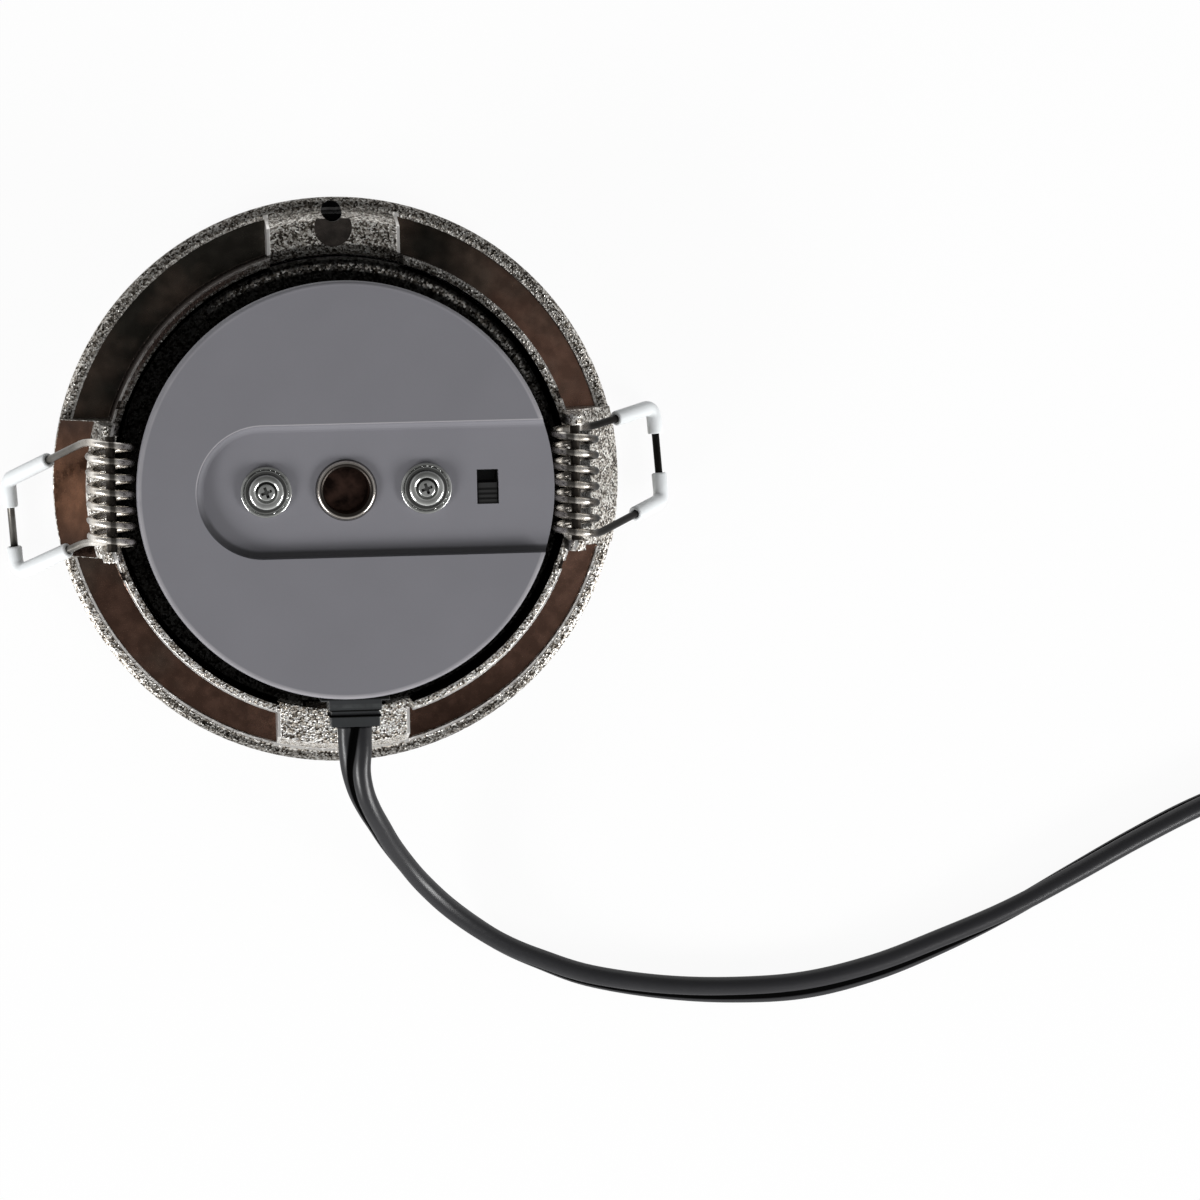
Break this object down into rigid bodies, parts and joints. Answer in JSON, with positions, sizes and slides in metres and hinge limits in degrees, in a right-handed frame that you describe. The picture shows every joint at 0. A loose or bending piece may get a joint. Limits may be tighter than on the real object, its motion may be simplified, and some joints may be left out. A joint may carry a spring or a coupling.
{
  "type": "recessed downlight",
  "caption": "Round tilting recessed downlight shown from behind, with a bezel, torsion spring clips, a rear cover with a slide switch, and a flat flexible lead.",
  "frame": {"origin": "the trim ring's axis in the plane of its front face, which is the lowest point without the cable", "axes": "+Z away from the lit room toward the rear cover, +X toward the right clip, +Y away from the cable's exit"},
  "size_m": [0.2719, 0.172, 0.0285],
  "materials": {
    "ring_nickel": "satin nickel paint with a fine speckle",
    "pin_steel": "turned steel",
    "pin_dark": "darkened steel",
    "gimbal_dark": "dark cast metal",
    "spring_steel": "drawn spring steel, half bright",
    "white_sleeve": "soft white sleeving",
    "screw_steel": "bright plated steel",
    "sink_aluminium": "dark anodised",
    "opal_plastic": "opal, slightly translucent",
    "white_plastic": "moulded white",
    "board_white": "white solder mask",
    "led_phosphor": "yellow phosphor",
    "pad_grey": "soft pad",
    "sheet_cream": "insulating sheet",
    "board_green": "green solder mask",
    "component_black": "moulded black",
    "component_blue": "dipped blue",
    "component_green": "coated green",
    "cover_grey": "matt grey moulding",
    "bush_nickel": "nickel plated",
    "black_plastic": "moulded black, half gloss",
    "cable_black": "soft black sheath with a light sheen",
    "core_brown": "brown insulation",
    "core_blue": "blue insulation",
    "tinned_copper": "tinned copper"
  },
  "bodies": {
    "trim": {"trim_ring": "ring_nickel", "pivot_pins": "pin_steel", "axle_left": "pin_dark", "axle_right": "pin_dark"},
    "clip_left": {"spring_left": "spring_steel", "sleeve_left_front": "white_sleeve", "sleeve_left_back": "white_sleeve"},
    "clip_right": {"spring_right": "spring_steel", "sleeve_right_front": "white_sleeve", "sleeve_right_back": "white_sleeve"},
    "head": {"gimbal_ring": "gimbal_dark", "gimbal_screws": "screw_steel", "heat_sink": "sink_aluminium", "diffuser": "opal_plastic", "reflector": "white_plastic", "led_board": "board_white", "led_chips": "led_phosphor", "led_board_screws": "screw_steel", "thermal_pad": "pad_grey", "led_connector": "white_plastic", "insulator_sheet": "sheet_cream", "driver_board": "board_green", "driver_board_screws": "screw_steel", "capacitor": "component_black", "inductor": "component_black", "rectifier": "component_black", "driver_chip": "component_black", "varistor": "component_blue", "fuse_resistor": "component_green", "switch_body": "component_black", "rear_cover": "cover_grey", "cover_screws": "screw_steel", "screw_washers": "screw_steel", "centre_bush": "bush_nickel", "cable_gland": "black_plastic", "inner_leads": "core_blue", "cable": "cable_black", "core_brown": "core_brown", "core_blue": "core_blue", "ferrules": "tinned_copper"},
    "knob": {"switch_knob": "component_black"}
  },
  "joints": [
    {"name": "head_tilt", "type": "hinge", "parent": "trim", "child": "head", "pos_m": [0, 0, 0.0085], "axis": [1, 0, 0], "range_deg": [-15, 15]},
    {"name": "clip_left_fold", "type": "hinge", "parent": "trim", "child": "clip_left", "pos_m": [-0.0364, 0, 0.0205], "axis": [0, 1, 0], "range_deg": [0, 140], "stiffness_Nm_per_rad": 0.12, "springref_deg": -28.65},
    {"name": "clip_right_fold", "type": "hinge", "parent": "trim", "child": "clip_right", "pos_m": [0.0364, 0, 0.0205], "axis": [0, -1, 0], "range_deg": [0, 140], "stiffness_Nm_per_rad": 0.12, "springref_deg": -28.65},
    {"name": "switch_slide", "type": "slide", "parent": "head", "child": "knob", "axis": [0, 1, 0], "range_m": [0, 0.002]}
  ]
}
